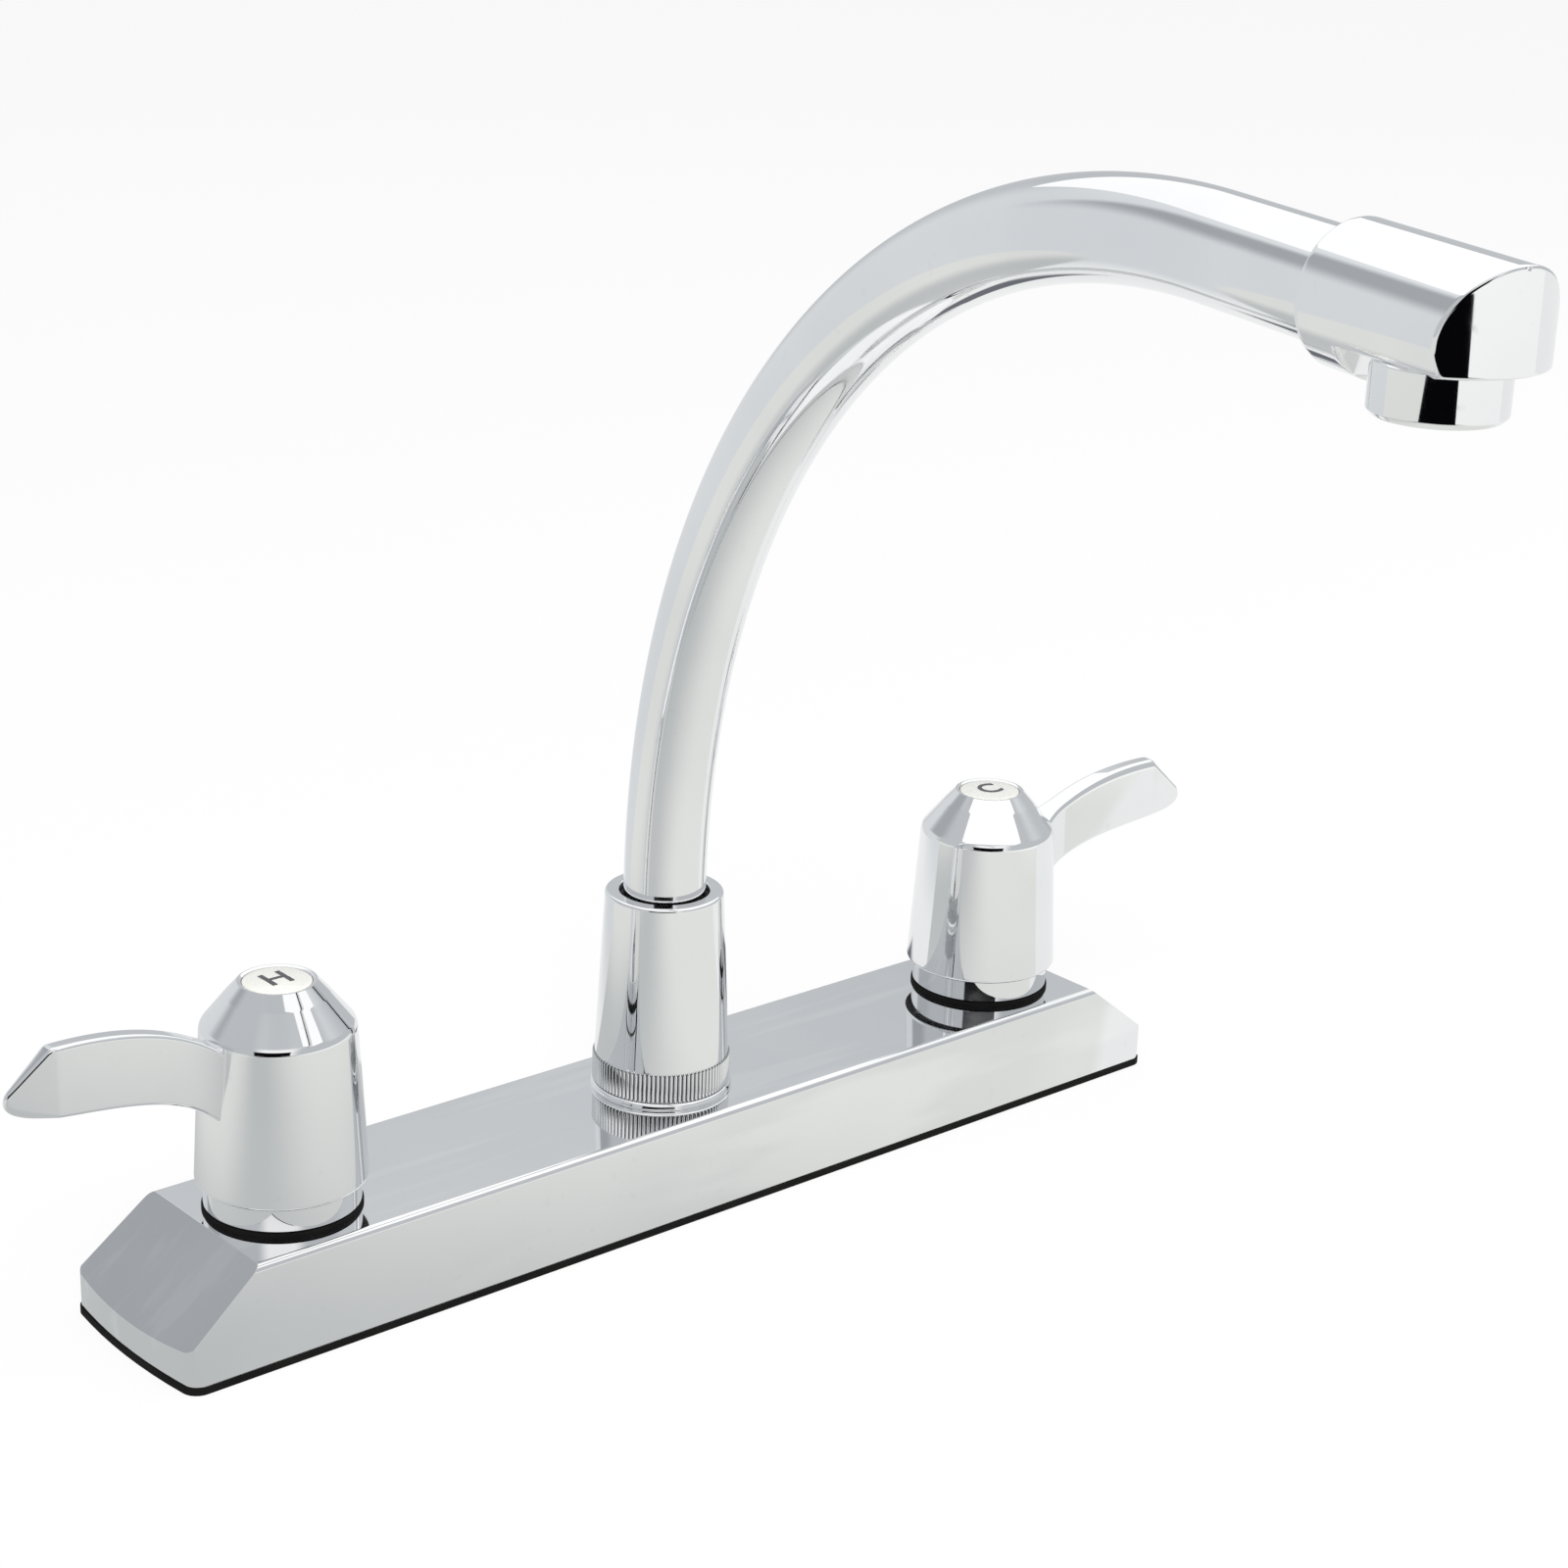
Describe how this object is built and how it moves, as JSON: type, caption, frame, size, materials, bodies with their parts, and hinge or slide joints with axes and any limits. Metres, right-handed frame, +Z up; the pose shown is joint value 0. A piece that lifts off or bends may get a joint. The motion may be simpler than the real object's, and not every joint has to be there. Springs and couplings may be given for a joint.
{
  "type": "kitchen faucet",
  "caption": "High-arc swivel spout on a knurled hub, with lever handles on a long faceted deck plate and threaded shanks below.",
  "frame": {"origin": "the spout's axis at the underside of the deck gasket", "axes": "+Z up along the spout's axis; +X along the deck plate towards the cold handle; -Y towards the sink bowl"},
  "size_m": [0.3263, 0.2708, 0.3044],
  "materials": {
    "chrome_plate": "polished",
    "chrome_hub": "polished",
    "chrome_handle": "polished",
    "chrome_spout": "polished",
    "gasket_rubber": "matte",
    "seal_rubber": "matte",
    "brass": "machined",
    "copper": "drawn copper tube",
    "ceramic": "lapped ceramic",
    "nylon": "satin",
    "nut_plastic": "satin",
    "steel": "zinc plated",
    "button_plastic": "gloss",
    "aerator_plastic": "satin"
  },
  "bodies": {
    "base": {"deck_plate": "chrome_plate", "deck_gasket": "gasket_rubber", "hot_valve_body": "brass", "cold_valve_body": "brass", "hot_seat_seal": "seal_rubber", "cold_seat_seal": "seal_rubber", "hot_cartridge": "brass", "cold_cartridge": "brass", "hot_fixed_disc": "ceramic", "cold_fixed_disc": "ceramic", "hot_transfer_tube": "copper", "cold_transfer_tube": "copper", "plate_nuts": "brass", "bonnet_nuts": "brass", "mounting_washers": "steel", "mounting_nuts": "nut_plastic", "spout_post": "brass", "spout_base_ring": "chrome_hub", "spout_nut": "chrome_hub", "glide_ring": "nylon", "retaining_ring": "nylon", "hub_bushing": "chrome_hub"},
    "spout": {"spout_stem": "brass", "spout_o_rings": "seal_rubber", "spout_tube": "chrome_spout", "spout_head": "chrome_spout", "aerator_housing": "chrome_spout", "aerator_insert": "aerator_plastic", "aerator_washer": "seal_rubber"},
    "hot_lever": {"hot_turning_disc": "ceramic", "hot_stem": "brass", "hot_stem_seal": "seal_rubber", "hot_handle": "chrome_handle", "hot_handle_screw": "steel", "hot_index_button": "button_plastic"},
    "cold_lever": {"cold_turning_disc": "ceramic", "cold_stem": "brass", "cold_stem_seal": "seal_rubber", "cold_handle": "chrome_handle", "cold_handle_screw": "steel", "cold_index_button": "button_plastic"}
  },
  "joints": [
    {"name": "spout_swivel", "type": "hinge", "parent": "base", "child": "spout", "pos_m": [0, 0, 0.05], "axis": [0, 0, 1], "continuous": true},
    {"name": "hot_turn", "type": "hinge", "parent": "base", "child": "hot_lever", "pos_m": [-0.1016, 0, 0.04], "axis": [0, 0, 1], "range_deg": [0, 90]},
    {"name": "cold_turn", "type": "hinge", "parent": "base", "child": "cold_lever", "pos_m": [0.1016, 0, 0.04], "axis": [0, 0, 1], "range_deg": [-85, 5]}
  ]
}
